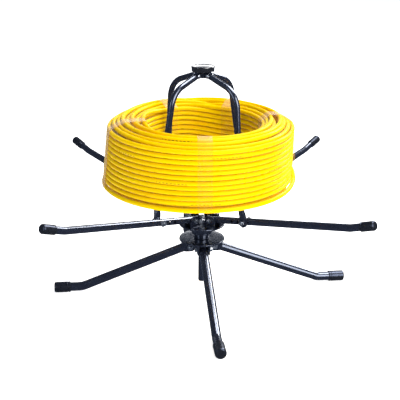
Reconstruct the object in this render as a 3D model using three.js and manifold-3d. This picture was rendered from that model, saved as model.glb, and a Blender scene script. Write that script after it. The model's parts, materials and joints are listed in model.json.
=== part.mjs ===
// Folding rotary pay-off stand for coiled cable: a four-legged base, a turntable with four
// arms, a tapered cage of four posts that carries the coil, and the coil itself.
// Millimetres, +Z up. The origin is on the floor, under the axis that the turntable spins on.
import * as THREE from 'three';
import { mergeVertices } from 'three/addons/utils/BufferGeometryUtils.js';
import Module from 'manifold-3d';

const wasm = await Module();
wasm.setup();

// ---------------------------------------------------------------- driving dimensions
const GAP = 0.3; // running gap between two pieces that touch
const DEG = Math.PI / 180;
const STATIONS = [0, 90, 180, 270];
const LEG_AZIMUTH = 0; // first leg, counted from -Y towards +X
const ARM_AZIMUTH = 41; // first arm, as the turntable stands at rest

const DISC = { radius: 41.5, thick: 3, lowerZ: 96.5, upperZ: 125.8 };
const COLUMN = { radius: 6.25, bottom: 11, round: 3 };
const SPINDLE = { radius: 6, bottom: 90, top: 141, nutAcross: 17, nutHeight: 8 };
const BEARING = { bossRadius: 14, bossTop: 110, cupRadius: 19.3, cupBottom: 108.5, wall: 2.6 };
const BALLS = { count: 8, radius: 2.5, pitchRadius: 11.5 };

const LEG = { radius: 8, wall: 1.5, pivotR: 22.5, pivotDrop: 12, bendR: 220.5, tipR: 269.5, tail: 6, bend: 28 };
const FOOT = { radius: 9.8, axisZ: 9.5, length: 27, end: 2.4 };
const ARM = { radius: 6.35, wall: 1.2, pivotR: 27, pivotRise: 14, tail: 7, bendR: 313, bend: 30 };
const ARM_SLOPE = 12 * DEG;
const ARM_TIP = { length: 44, slope: 19.8 * DEG };
const ARM_CAP = { radius: 7.9, length: 24, end: 2.2 };
const HOLES = { first: 16, pitch: 14, count: 2, radius: 2.7 };
const SLOT = { inward: 5.6, outward: 3.8, halfWidth: 3.5 }; // lets the post bolt ride as the arms fold

const BRACKET = { plate: 3, inner: 16, outer: 38, corner: 6 };
const LEG_BOLT = { radius: 3, across: 10, head: 4, nut: 5 };
const ARM_BOLT = { radius: 2.5, across: 8, head: 3.5, nut: 4.2 };

const POST = { radius: 5.2, footR: 105.5, topR: 15, rise: 242, topSlope: 19.5 * DEG, bend: 40, side: 12 };
const POST_CORNER_R = 74.5; // where the straight lower part would meet the sloping upper part
const POST_FOOT = { thick: 6, halfWidth: 6.6, below: 8, above: 15 };
const POST_BOLT = { radius: 2.5, across: 8, head: 3.2, nut: 4.2, flange: 6.4 };

const TOP_HUB = { core: 6.3, lug: 4, lugTip: 5, plateRadius: 17.6, plateBottom: 10.5, plateTop: 13.3 };
const TOP_CAP = { radius: 20.5, skirtBottom: 7, top: 16, wall: 1.4 };
const RIVET = { radius: 2, head: 3.4, headThick: 1.6 };

// The roll is a little wider at its foot, and its bore narrows a little towards its top.
const COIL = { bottom: 205, top: 322.5, boreFoot: 104.8, boreTop: 102, split: 134, foot: 168, shoulder: 163.5, edge: 6 };

// ---------------------------------------------------------------- places worked out from them
const lowerDiscBottom = DISC.lowerZ - DISC.thick / 2;
const lowerDiscTop = DISC.lowerZ + DISC.thick / 2;
const upperDiscBottom = DISC.upperZ - DISC.thick / 2;
const upperDiscTop = DISC.upperZ + DISC.thick / 2;
const legPivot = new THREE.Vector3(LEG.pivotR, 0, DISC.lowerZ - LEG.pivotDrop);
const armPivot = new THREE.Vector3(ARM.pivotR, 0, DISC.upperZ + ARM.pivotRise);
const postFoot = armPivot.clone().add(along(ARM_SLOPE, (POST.footR - ARM.pivotR) / Math.cos(ARM_SLOPE)));
const topPivot = new THREE.Vector3(POST.topR, 0, postFoot.z + POST.rise);
const legSideways = LEG.radius + GAP;
const armSideways = ARM.radius + GAP;

// ---------------------------------------------------------------- finishes
const finish = (color, roughness, metalness) => new THREE.MeshStandardMaterial({ color, roughness, metalness });
const blackPaint = finish(0x15161a, 0.35, 0.3);
const blackCap = finish(0x0d0d0f, 0.6, 0);
const zinc = finish(0xc9ccd0, 0.35, 1);
const bearingSteel = finish(0x8d9094, 0.25, 1);
const yellowCable = finish(0xffd400, 0.35, 0);

// ---------------------------------------------------------------- geometry helpers
/** A vector of the given length in the X-Z plane, tilted up from +X by slope. */
function along(slope, length) {
  return new THREE.Vector3(Math.cos(slope) * length, 0, Math.sin(slope) * length);
}

/** Six times the signed volume of an indexed triangle mesh. */
function signedVolume(points, index) {
  const [a, b, c] = [new THREE.Vector3(), new THREE.Vector3(), new THREE.Vector3()];
  let sum = 0;
  for (let i = 0; i < index.length; i += 3) {
    a.fromArray(points, 3 * index[i]);
    b.fromArray(points, 3 * index[i + 1]);
    c.fromArray(points, 3 * index[i + 2]);
    sum += a.dot(b.cross(c));
  }
  return sum;
}

/** Turns a closed three.js geometry into a manifold solid with its faces pointing out. */
function solid(geometry) {
  const bare = geometry.clone();
  bare.deleteAttribute('normal');
  bare.deleteAttribute('uv');
  const merged = mergeVertices(bare, 1e-4);
  const points = new Float32Array(merged.attributes.position.array);
  const index = new Uint32Array(merged.index.array);
  if (signedVolume(points, index) < 0) {
    for (let i = 0; i < index.length; i += 3) [index[i], index[i + 1]] = [index[i + 1], index[i]];
  }
  return new wasm.Manifold(new wasm.Mesh({ numProp: 3, vertProperties: points, triVerts: index }));
}

/** Turns a manifold solid back into a three.js geometry. */
function geometryOf(body) {
  const mesh = body.getMesh();
  const geometry = new THREE.BufferGeometry();
  geometry.setAttribute('position', new THREE.BufferAttribute(mesh.vertProperties, 3));
  geometry.setIndex(new THREE.BufferAttribute(mesh.triVerts, 1));
  geometry.computeVertexNormals();
  return geometry;
}

function circlePoints(radius, sides, x = 0, y = 0) {
  const points = [];
  for (let i = 0; i < sides; i++) {
    const turn = (2 * Math.PI * (i + 0.5)) / sides;
    points.push(new THREE.Vector2(x + radius * Math.cos(turn), y + radius * Math.sin(turn)));
  }
  return points;
}

/** A cylinder on the local Y axis, from y = start to y = end, through (x, z). */
function crossPin(radius, start, end, x = 0, z = 0, sides = 10) {
  const pin = new THREE.CylinderGeometry(radius, radius, end - start, sides);
  return pin.translate(x, (start + end) / 2, z);
}

/** A cylinder on a vertical axis through the origin, from z = bottom to z = top. */
function upright(radius, bottom, top, sides = 32) {
  const post = new THREE.CylinderGeometry(radius, radius, top - bottom, sides).rotateX(Math.PI / 2);
  return post.translate(0, 0, (bottom + top) / 2);
}

/** A body turned around Z from [radius, height] points. The outline closes on itself. */
function turned(outline, sides) {
  const points = outline.map(([r, z]) => new THREE.Vector2(r, z));
  if (outline[0][0] > 0) points.push(points[0].clone());
  return new THREE.LatheGeometry(points, sides).rotateX(Math.PI / 2);
}

/** A flat plate whose outline lies in X-Z, from y = start, thick along +Y. */
function sidePlate(outline, holes, start, thick) {
  const shape = new THREE.Shape(outline);
  for (const hole of holes) shape.holes.push(new THREE.Path(hole));
  const plate = new THREE.ExtrudeGeometry(shape, { depth: thick, bevelEnabled: false, steps: 1 });
  return plate.rotateX(Math.PI / 2).translate(0, start + thick, 0);
}

/** A line of stations that an extrusion follows, with one cross-section at each. */
class StationLine extends THREE.Curve {
  constructor(stations) {
    super();
    this.stations = stations;
    this.last = stations.length - 1;
  }

  getPoint(t, target = new THREE.Vector3()) {
    const i = Math.min(Math.floor(t * this.last + 1e-6), this.last - 1);
    return target.lerpVectors(this.stations[i], this.stations[i + 1], t * this.last - i);
  }

  getPointAt(u, target) {
    return this.getPoint(u, target);
  }

  getTangentAt(u, target = new THREE.Vector3()) {
    const i = Math.round(u * this.last);
    const back = this.stations[Math.max(i - 1, 0)];
    const here = this.stations[i];
    const next = this.stations[Math.min(i + 1, this.last)];
    const arriving = here.clone().sub(back).normalize();
    const leaving = next.clone().sub(here).normalize();
    return target.copy(arriving).add(leaving).normalize();
  }
}

/** Stations of a line through three corners whose middle corner is an arc of the given radius. */
function bentLine(start, corner, end, radius, steps) {
  const arriving = corner.clone().sub(start).normalize();
  const leaving = end.clone().sub(corner).normalize();
  const turn = arriving.angleTo(leaving);
  const inward = leaving.clone().addScaledVector(arriving, -Math.cos(turn)).normalize();
  const arcStart = corner.clone().addScaledVector(arriving, -radius * Math.tan(turn / 2));
  const stations = [start];
  for (let i = 0; i <= steps; i++) {
    const angle = (turn * i) / steps;
    const point = arcStart.clone().addScaledVector(inward, radius * (1 - Math.cos(angle)));
    stations.push(point.addScaledVector(arriving, radius * Math.sin(angle)));
  }
  stations.push(end);
  return stations;
}

/** A round bar, or a tube where wall is given, along stations. */
function bar(stations, radius, wall, sides) {
  const shape = new THREE.Shape(circlePoints(radius, sides));
  if (wall) shape.holes.push(new THREE.Path(circlePoints(radius - wall, sides)));
  const path = new StationLine(stations);
  return new THREE.ExtrudeGeometry(shape, { steps: path.last, extrudePath: path, bevelEnabled: false });
}

/** A hex bolt on the local Y axis. The head sits outside y = seat, on the side of its sign. */
function hexBolt(bolt, seat, tip, flange = 0) {
  const side = Math.sign(seat);
  const outside = seat + side * (bolt.head + (flange ? 1.2 : 0));
  const headStart = seat + side * (flange ? 1.2 : 0);
  const low = Math.min(headStart, outside);
  const high = Math.max(headStart, outside);
  let body = solid(crossPin(bolt.across / Math.sqrt(3), low, high, 0, 0, 6));
  body = body.add(solid(crossPin(bolt.radius, Math.min(tip, headStart), Math.max(tip, headStart))));
  if (flange) {
    body = body.add(solid(crossPin(flange, Math.min(seat, headStart + side * 0.1), Math.max(seat, headStart), 0, 0, 16)));
  }
  return geometryOf(body);
}

/** A hex nut on the local Y axis, from y = start to y = end. */
function hexNut(bolt, start, end) {
  const shape = new THREE.Shape(circlePoints(bolt.across / Math.sqrt(3), 6));
  shape.holes.push(new THREE.Path(circlePoints(bolt.radius + GAP, 10)));
  const nut = new THREE.ExtrudeGeometry(shape, { depth: end - start, bevelEnabled: false, steps: 1 });
  return nut.rotateX(Math.PI / 2).translate(0, end, 0);
}

/** A sleeve that closes the end of a tube: along +X, mouth at x = -length, closed past x = 0. */
function sleeveCap(cap, boreRadius) {
  const edge = 1.4;
  const outline = [
    [0, GAP],
    [boreRadius, GAP],
    [boreRadius, -cap.length],
    [cap.radius - 0.6, -cap.length],
    [cap.radius, -cap.length + 0.8],
    [cap.radius, cap.end - edge],
    [cap.radius - edge, cap.end],
    [0, cap.end],
  ];
  return turned(outline, 16).rotateY(Math.PI / 2);
}

// ---------------------------------------------------------------- building the scene graph
const group = new THREE.Group();

function addMesh(parent, name, geometry, material, position) {
  const mesh = new THREE.Mesh(geometry, material);
  mesh.name = name;
  if (position) mesh.position.copy(position);
  parent.add(mesh);
  return mesh;
}

/** A group at one of the four stations, with +X outward and +Y towards the next station. */
function station(azimuth) {
  const place = new THREE.Group();
  place.rotation.z = (azimuth - 90) * DEG;
  group.add(place);
  return place;
}

// ---------------------------------------------------------------- hub discs and brackets
/** Outline of a bracket's side plate in X-Z, standing on z = root and rounded at the pivot side. */
function bracketOutline(root, tipZ, inner, outer) {
  const up = Math.sign(tipZ - root);
  const corner = BRACKET.corner;
  const points = [new THREE.Vector2(inner, root), new THREE.Vector2(outer, root)];
  for (const [x, from] of [[outer - corner, 0], [inner + corner, 90]]) {
    for (let i = 0; i <= 2; i++) {
      const angle = (from + 45 * i) * DEG;
      const z = tipZ - up * corner + up * corner * Math.sin(angle);
      points.push(new THREE.Vector2(x + corner * Math.cos(angle), z));
    }
  }
  return points;
}

/** A disc with a centre hole and four pairs of welded bracket plates. */
function hubWithBrackets(discZ, rootZ, tipZ, pivot, sideways, inner, outer, boltRadius, azimuth) {
  const disc = upright(DISC.radius, discZ - DISC.thick / 2, discZ + DISC.thick / 2, 40);
  let body = solid(disc).subtract(solid(upright(SPINDLE.radius + GAP, 0, 200, 16)));
  const hole = circlePoints(boltRadius + GAP, 10, pivot.x, pivot.z);
  const outline = bracketOutline(rootZ, tipZ, inner, outer);
  for (const turn of STATIONS) {
    for (const start of [sideways, -sideways - BRACKET.plate]) {
      const plate = sidePlate(outline, [hole], start, BRACKET.plate);
      body = body.add(solid(plate.rotateZ((azimuth + turn - 90) * DEG)));
    }
  }
  return geometryOf(body);
}

function addHubs() {
  const weld = 0.8; // how far the plates reach into the disc
  addMesh(group, 'lower_hub', hubWithBrackets(DISC.lowerZ, lowerDiscBottom + weld, legPivot.z - 9.5, legPivot,
    legSideways, 13.5, 37, LEG_BOLT.radius, LEG_AZIMUTH), blackPaint);
  addMesh(group, 'upper_hub', hubWithBrackets(DISC.upperZ, upperDiscTop - weld, armPivot.z + 8.5, armPivot,
    armSideways, BRACKET.inner, BRACKET.outer, ARM_BOLT.radius, ARM_AZIMUTH), blackPaint);
}

// ---------------------------------------------------------------- column, spindle and bearing
function addColumn() {
  const top = lowerDiscBottom - GAP;
  const outline = [
    [0, COLUMN.bottom],
    [COLUMN.radius - COLUMN.round, COLUMN.bottom],
    [COLUMN.radius - 0.9, COLUMN.bottom + 0.9],
    [COLUMN.radius, COLUMN.bottom + COLUMN.round],
    [COLUMN.radius, SPINDLE.bottom - GAP],
    [COLUMN.radius, top],
    [0, top],
  ];
  const socket = upright(SPINDLE.radius - 1, SPINDLE.bottom - GAP, top + 1, 24);
  addMesh(group, 'center_column', geometryOf(solid(turned(outline, 24)).subtract(solid(socket))), blackPaint);
}

function addSpindle() {
  const pin = SPINDLE.radius;
  const outline = [
    [0, SPINDLE.bottom],
    [pin - 1 - GAP, SPINDLE.bottom],
    [pin - 1 - GAP, lowerDiscBottom],
    [pin, lowerDiscBottom],
    [pin, SPINDLE.top - 1],
    [pin - 1, SPINDLE.top],
    [0, SPINDLE.top],
  ];
  addMesh(group, 'spindle', turned(outline, 24), bearingSteel);
  const nut = new THREE.Shape(circlePoints(SPINDLE.nutAcross / Math.sqrt(3), 6));
  nut.holes.push(new THREE.Path(circlePoints(pin + GAP, 24)));
  const body = new THREE.ExtrudeGeometry(nut, { depth: SPINDLE.nutHeight, bevelEnabled: false, steps: 1 });
  addMesh(group, 'spindle_nut', body.translate(0, 0, upperDiscTop + GAP), zinc);
}

function addBearing() {
  const bore = SPINDLE.radius + GAP;
  const floor = lowerDiscTop + GAP;
  const boss = BEARING.bossRadius;
  addMesh(group, 'bearing_lower_race', turned([
    [bore, floor],
    [boss, floor],
    [boss, BEARING.bossTop],
    [bore, BEARING.bossTop],
  ], 32), blackPaint);

  const ballsBottom = BEARING.bossTop + GAP;
  const ballsTop = ballsBottom + 2 * BALLS.radius;
  const middle = (ballsBottom + ballsTop) / 2;
  let cage = solid(turned([
    [BALLS.pitchRadius - 2.2, middle - 0.9],
    [BALLS.pitchRadius + 2.2, middle - 0.9],
    [BALLS.pitchRadius + 2.2, middle + 0.9],
    [BALLS.pitchRadius - 2.2, middle + 0.9],
  ], 20));
  for (let i = 0; i < BALLS.count; i++) {
    const turn = (2 * Math.PI * i) / BALLS.count;
    const ball = new THREE.SphereGeometry(BALLS.radius, 7, 4).rotateX(Math.PI / 2);
    ball.translate(BALLS.pitchRadius * Math.cos(turn), BALLS.pitchRadius * Math.sin(turn), middle);
    cage = cage.add(solid(ball));
  }
  addMesh(group, 'ball_cage', geometryOf(cage), bearingSteel);

  const outer = BEARING.cupRadius;
  addMesh(group, 'bearing_upper_cup', turned([
    [bore, ballsTop + GAP],
    [outer - BEARING.wall, ballsTop + GAP],
    [outer - BEARING.wall, BEARING.cupBottom],
    [outer - 0.8, BEARING.cupBottom],
    [outer, BEARING.cupBottom + 0.8],
    [outer, upperDiscBottom - GAP],
    [bore, upperDiscBottom - GAP],
  ], 32), blackPaint);
}

// ---------------------------------------------------------------- legs
function addLeg(number, azimuth) {
  const place = station(azimuth);
  const corner = new THREE.Vector3(LEG.bendR, 0, FOOT.axisZ);
  const slope = Math.atan2(corner.z - legPivot.z, corner.x - legPivot.x);
  const start = legPivot.clone().add(along(slope, -LEG.tail));
  const end = new THREE.Vector3(LEG.tipR, 0, FOOT.axisZ);
  const tube = solid(bar(bentLine(start, corner, end, LEG.bend, 3), LEG.radius, LEG.wall, 14));
  const reach = LEG.radius + 1;
  const hole = solid(crossPin(LEG_BOLT.radius + GAP, -reach, reach, legPivot.x, legPivot.z));
  addMesh(place, `leg_tube_${number}`, geometryOf(tube.subtract(hole)), blackPaint);

  const cap = solid(sleeveCap(FOOT, LEG.radius + GAP));
  const belowFloor = new THREE.BoxGeometry(80, 30, 10).translate(0, 0, -FOOT.axisZ - 5);
  addMesh(place, `foot_cap_${number}`, geometryOf(cap.subtract(solid(belowFloor))), blackCap, end);

  const seat = legSideways + BRACKET.plate + GAP;
  addMesh(place, `leg_bolt_${number}`, hexBolt(LEG_BOLT, -seat, seat + LEG_BOLT.nut + 1.4), zinc, legPivot);
  addMesh(place, `leg_nut_${number}`, hexNut(LEG_BOLT, seat, seat + LEG_BOLT.nut), zinc, legPivot);
}

// ---------------------------------------------------------------- arms
/** The straight slot that the post bolt rides in, and the row of spare holes beside it. */
function armCuts() {
  const reach = ARM.radius + 1;
  const cuts = [solid(crossPin(ARM_BOLT.radius + GAP, -reach, reach, armPivot.x, armPivot.z))];
  const half = SLOT.halfWidth;
  const outline = [];
  for (const [x, from] of [[SLOT.outward, -90], [-SLOT.inward, 90]]) {
    for (let i = 0; i <= 3; i++) {
      const angle = (from + 60 * i) * DEG;
      outline.push(new THREE.Vector2(x + half * Math.cos(angle), half * Math.sin(angle)));
    }
  }
  const slot = sidePlate(outline, [], -reach, 2 * reach).rotateY(-ARM_SLOPE);
  cuts.push(solid(slot.translate(postFoot.x, 0, postFoot.z)));
  for (let i = 0; i < HOLES.count; i++) {
    const at = postFoot.clone().add(along(ARM_SLOPE, -HOLES.first - HOLES.pitch * i));
    cuts.push(solid(crossPin(HOLES.radius, -reach, reach, at.x, at.z, 8)));
  }
  return cuts;
}

function addArm(number, azimuth) {
  const place = station(azimuth);
  const corner = armPivot.clone().add(along(ARM_SLOPE, (ARM.bendR - ARM.pivotR) / Math.cos(ARM_SLOPE)));
  const start = armPivot.clone().add(along(ARM_SLOPE, -ARM.tail));
  const end = corner.clone().add(along(ARM_TIP.slope, ARM_TIP.length));
  let tube = solid(bar(bentLine(start, corner, end, ARM.bend, 2), ARM.radius, ARM.wall, 12));
  for (const cut of armCuts()) tube = tube.subtract(cut);
  addMesh(place, `arm_tube_${number}`, geometryOf(tube), blackPaint);

  const cap = addMesh(place, `arm_cap_${number}`, sleeveCap(ARM_CAP, ARM.radius + GAP), blackCap, end);
  cap.rotation.y = -ARM_TIP.slope;

  const seat = armSideways + BRACKET.plate + GAP;
  addMesh(place, `arm_bolt_${number}`, hexBolt(ARM_BOLT, seat, -seat - ARM_BOLT.nut - 1.6), zinc, armPivot);
  addMesh(place, `arm_nut_${number}`, hexNut(ARM_BOLT, -seat - ARM_BOLT.nut, -seat), zinc, armPivot);
}

// ---------------------------------------------------------------- cage posts
/** A bent round post, flattened beside the arm at its foot and slotted over the hub's lug on top. */
function addPost(number, azimuth) {
  const place = station(azimuth);
  const innerFace = -armSideways;
  const cornerZ = topPivot.z - Math.tan(POST.topSlope) * (POST_CORNER_R - POST.topR);
  const corner = new THREE.Vector3(POST_CORNER_R, 0, cornerZ);
  const foot = new THREE.Vector3(postFoot.x, 0, postFoot.z);
  const lean = Math.atan2(foot.x - corner.x, corner.z - foot.z);
  const upPost = new THREE.Vector3(-Math.sin(lean), 0, Math.cos(lean));
  const rodStart = foot.clone().addScaledVector(upPost, POST_FOOT.above - 3);
  const sideEnd = foot.clone().addScaledVector(upPost, 40);
  const tail = 6;
  const end = topPivot.clone().add(along(POST.topSlope, -tail).multiply(new THREE.Vector3(1, 1, -1)));
  const stations = bentLine(sideEnd, corner, end, POST.bend, 5);
  stations.unshift(rodStart);
  const straightTop = stations[2].z;
  for (const point of stations) {
    const rise = THREE.MathUtils.clamp((point.z - sideEnd.z) / (straightTop - sideEnd.z), 0, 1);
    point.y = -POST.side * (1 - rise);
  }
  let body = solid(bar(stations, POST.radius, 0, 12));

  const flat = [];
  for (const [z, from] of [[-POST_FOOT.below + 6.6, 180], [POST_FOOT.above - 6.6, 0]]) {
    for (let i = 0; i <= 4; i++) {
      const angle = (from + 45 * i) * DEG;
      flat.push(new THREE.Vector2(POST_FOOT.halfWidth * Math.cos(angle), z + 6.6 * Math.sin(angle)));
    }
  }
  const eye = circlePoints(POST_BOLT.radius + GAP, 10);
  const plate = sidePlate(flat, [eye], innerFace - POST_FOOT.thick, POST_FOOT.thick).rotateY(-lean);
  body = body.add(solid(plate.translate(foot.x, 0, foot.z)));

  const reach = POST.radius + 2;
  const slotHalf = TOP_HUB.lug / 2 + GAP;
  const slot = new THREE.BoxGeometry(24, 2 * slotHalf, 2 * reach).translate(12 - tail - 12, 0, 0);
  body = body.subtract(solid(slot.rotateY(POST.topSlope).translate(topPivot.x, 0, topPivot.z)));
  body = body.subtract(solid(crossPin(RIVET.radius + GAP, -reach, reach, topPivot.x, topPivot.z)));
  addMesh(place, `post_${number}`, geometryOf(body), blackPaint);

  const outerSeat = innerFace - POST_FOOT.thick - GAP;
  const tip = outerSeat - POST_BOLT.nut - 1.6;
  addMesh(place, `post_bolt_${number}`, hexBolt(POST_BOLT, armSideways, tip, POST_BOLT.flange), zinc, postFoot);
  addMesh(place, `post_nut_${number}`, hexNut(POST_BOLT, outerSeat - POST_BOLT.nut, outerSeat), zinc, postFoot);
  const half = POST.radius + GAP;
  let rivet = solid(crossPin(RIVET.radius, -half - 0.5, half + 0.5));
  rivet = rivet.add(solid(crossPin(RIVET.head, half, half + RIVET.headThick)));
  rivet = rivet.add(solid(crossPin(RIVET.head, -half - RIVET.headThick, -half)));
  addMesh(place, `top_rivet_${number}`, geometryOf(rivet), zinc, topPivot);
}

// ---------------------------------------------------------------- top hub and cap
function addTop() {
  const z = topPivot.z;
  const plate = upright(TOP_HUB.plateRadius, z + TOP_HUB.plateBottom, z + TOP_HUB.plateTop, 32);
  let body = solid(plate).add(solid(upright(TOP_HUB.core, z - TOP_HUB.lugTip, z + TOP_HUB.plateTop - 1, 24)));
  const outline = [new THREE.Vector2(0, TOP_HUB.plateBottom + 1), new THREE.Vector2(0, -TOP_HUB.lugTip)];
  for (let i = 0; i <= 4; i++) {
    const angle = (-90 + 22.5 * i) * DEG;
    outline.push(new THREE.Vector2(POST.topR + TOP_HUB.lugTip * Math.cos(angle), TOP_HUB.lugTip * Math.sin(angle)));
  }
  outline.push(new THREE.Vector2(TOP_HUB.plateRadius - 1, TOP_HUB.plateBottom + 1));
  const hole = circlePoints(RIVET.radius + GAP, 10, POST.topR, 0);
  for (const turn of STATIONS) {
    const lug = sidePlate(outline, [hole], -TOP_HUB.lug / 2, TOP_HUB.lug).translate(0, 0, z);
    body = body.add(solid(lug.rotateZ((ARM_AZIMUTH + turn - 90) * DEG)));
  }
  addMesh(group, 'top_hub', geometryOf(body), blackPaint);

  const inner = TOP_CAP.radius - TOP_CAP.wall;
  addMesh(group, 'top_cap', turned([
    [0, z + TOP_HUB.plateTop + GAP],
    [inner, z + TOP_HUB.plateTop + GAP],
    [inner, z + TOP_CAP.skirtBottom],
    [TOP_CAP.radius, z + TOP_CAP.skirtBottom],
    [TOP_CAP.radius, z + TOP_CAP.top - 1],
    [TOP_CAP.radius - 1, z + TOP_CAP.top],
    [0, z + TOP_CAP.top],
  ], 40), blackCap);
}

// ---------------------------------------------------------------- coil of cable
/** A ring with cut-off edges, standing for the turns between two radii at its foot and its top. */
function ring(innerFoot, innerTop, outerFoot, outerTop) {
  const { bottom, top, edge } = COIL;
  return turned([
    [innerFoot, bottom + edge],
    [innerFoot + edge, bottom],
    [outerFoot - edge, bottom],
    [outerFoot, bottom + edge],
    [outerTop, top - edge],
    [outerTop - edge, top],
    [innerTop + edge, top],
    [innerTop, top - edge],
  ], 40);
}

function addCoil() {
  const inside = COIL.split - GAP / 2;
  const outside = COIL.split + GAP / 2;
  addMesh(group, 'coil_inner_turns', ring(COIL.boreFoot, COIL.boreTop, inside, inside), yellowCable);
  addMesh(group, 'coil_outer_turns', ring(outside, outside, COIL.foot, COIL.shoulder), yellowCable);
}

addHubs();
addColumn();
addSpindle();
addBearing();
STATIONS.forEach((turn, i) => {
  addLeg(i + 1, LEG_AZIMUTH + turn);
  addArm(i + 1, ARM_AZIMUTH + turn);
  addPost(i + 1, ARM_AZIMUTH + turn);
});
addTop();
addCoil();

export default group;
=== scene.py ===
import json
import math

import bmesh
import bpy
from mathutils import Matrix, Vector, geometry

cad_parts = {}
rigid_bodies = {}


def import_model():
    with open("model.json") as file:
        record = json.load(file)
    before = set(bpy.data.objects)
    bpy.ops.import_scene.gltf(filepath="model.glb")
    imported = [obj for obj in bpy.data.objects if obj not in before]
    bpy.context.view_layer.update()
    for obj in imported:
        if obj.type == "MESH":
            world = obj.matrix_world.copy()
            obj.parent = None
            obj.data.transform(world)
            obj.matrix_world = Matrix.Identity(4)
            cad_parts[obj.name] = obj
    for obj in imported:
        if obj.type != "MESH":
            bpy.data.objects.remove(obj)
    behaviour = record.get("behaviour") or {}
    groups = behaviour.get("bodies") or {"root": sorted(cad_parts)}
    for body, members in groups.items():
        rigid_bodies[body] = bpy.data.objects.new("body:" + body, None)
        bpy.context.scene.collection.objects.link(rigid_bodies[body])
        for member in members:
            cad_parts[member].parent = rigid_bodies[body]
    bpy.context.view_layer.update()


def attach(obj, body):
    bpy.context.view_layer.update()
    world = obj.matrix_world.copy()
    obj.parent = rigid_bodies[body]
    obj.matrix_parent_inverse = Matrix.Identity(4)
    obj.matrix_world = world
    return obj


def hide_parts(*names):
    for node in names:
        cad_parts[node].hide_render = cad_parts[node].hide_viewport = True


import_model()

# Looks of a folding rotary pay-off stand with a coil of cable on it.
# Metres, +Z up. The stand turns on the Z axis. An azimuth is counted in degrees from -Y towards
# +X. In a station's own axes +X points outward and +Y towards the next larger azimuth.

# ---------------------------------------------------------------- sizes, as in the CAD source
MM = 0.001
GAP = 0.3 * MM
STATIONS = (0, 90, 180, 270)
LEG_AZIMUTH = 0
ARM_AZIMUTH = 41

DISC_RADIUS, DISC_THICK = 41.5 * MM, 3 * MM
LOWER_DISC_Z, UPPER_DISC_Z = 96.5 * MM, 125.8 * MM
COLUMN_RADIUS, COLUMN_BOTTOM = 6.25 * MM, 11 * MM
SPINDLE_RADIUS, SPINDLE_BOTTOM, SPINDLE_TOP = 6 * MM, 90 * MM, 141 * MM
SPINDLE_NUT_ACROSS, SPINDLE_NUT_HEIGHT = 17 * MM, 8 * MM
BOSS_RADIUS, BOSS_TOP = 14 * MM, 110 * MM
CUP_RADIUS, CUP_BOTTOM, CUP_WALL = 19.3 * MM, 108.5 * MM, 2.6 * MM
BALL_COUNT, BALL_RADIUS, BALL_PITCH_RADIUS = 8, 2.5 * MM, 11.5 * MM

LEG_RADIUS, LEG_WALL, LEG_TAIL, LEG_BEND = 8 * MM, 1.5 * MM, 6 * MM, 28 * MM
LEG_PIVOT = Vector((22.5, 0, 84.5)) * MM
LEG_CORNER = Vector((220.5, 0, 9.5)) * MM
LEG_TIP = Vector((269.5, 0, 9.5)) * MM
FOOT_RADIUS, FOOT_LENGTH, FOOT_END = 9.8 * MM, 27 * MM, 2.4 * MM

ARM_RADIUS, ARM_WALL, ARM_TAIL, ARM_BEND = 6.35 * MM, 1.2 * MM, 7 * MM, 30 * MM
ARM_SLOPE, ARM_TIP_SLOPE, ARM_TIP_LENGTH = math.radians(12), math.radians(19.8), 44 * MM
ARM_PIVOT = Vector((27, 0, 139.8)) * MM
ARM_BEND_R, POST_FOOT_R = 313 * MM, 105.5 * MM
ARM_CAP_RADIUS, ARM_CAP_LENGTH, ARM_CAP_END = 7.9 * MM, 24 * MM, 2.2 * MM
HOLE_FIRST, HOLE_PITCH, HOLE_COUNT, HOLE_RADIUS = 16 * MM, 14 * MM, 2, 2.7 * MM
SLOT_INWARD, SLOT_OUTWARD, SLOT_HALF = 5.6 * MM, 3.8 * MM, 3.5 * MM

PLATE_THICK, PLATE_CORNER = 3 * MM, 6 * MM
LEG_BOLT = {"radius": 3 * MM, "across": 10 * MM, "head": 4 * MM, "nut": 5 * MM, "flange": 0}
ARM_BOLT = {"radius": 2.5 * MM, "across": 8 * MM, "head": 3.5 * MM, "nut": 4.2 * MM, "flange": 0}
POST_BOLT = {"radius": 2.5 * MM, "across": 8 * MM, "head": 3.2 * MM, "nut": 4.2 * MM, "flange": 6.4 * MM}

POST_RADIUS, POST_BEND, POST_SIDE, POST_TAIL = 5.2 * MM, 40 * MM, 12 * MM, 6 * MM
POST_TOP_R, POST_RISE, POST_TOP_SLOPE, POST_CORNER_R = 15 * MM, 242 * MM, math.radians(19.5), 74.5 * MM
POST_FOOT_THICK, POST_FOOT_HALF = 6 * MM, 6.6 * MM
POST_FOOT_BELOW = 8 * MM
POST_PRESSED_END, POST_ROUND_START, POST_PATH_START = 9 * MM, 24 * MM, 40 * MM
FORK_INWARD, FORK_OUTWARD, FORK_HALF = 24 * MM, 6 * MM, 12 * MM
LUG_THICK, LUG_TIP, HUB_CORE, HUB_PLATE_RADIUS = 4 * MM, 5 * MM, 6.3 * MM, 17.6 * MM
HUB_PLATE_BOTTOM, HUB_PLATE_TOP = 10.5 * MM, 13.3 * MM
CAP_RADIUS, CAP_SKIRT_BOTTOM, CAP_TOP, CAP_WALL = 20.5 * MM, 7 * MM, 16 * MM, 1.4 * MM
RIVET_RADIUS, RIVET_HEAD, RIVET_HEAD_THICK = 2 * MM, 3.4 * MM, 1.6 * MM
CUT_REACH = 30 * MM  # how far a cutter goes to each side of the X-Z plane, past what it cuts


def along(slope, length):
    """A vector of that length in the X-Z plane, tilted up from +X by slope."""
    return Vector((math.cos(slope) * length, 0, math.sin(slope) * length))


POST_FOOT = ARM_PIVOT + along(ARM_SLOPE, (POST_FOOT_R - ARM_PIVOT.x) / math.cos(ARM_SLOPE))
TOP_PIVOT = Vector((POST_TOP_R, 0, POST_FOOT.z + POST_RISE))

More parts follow.
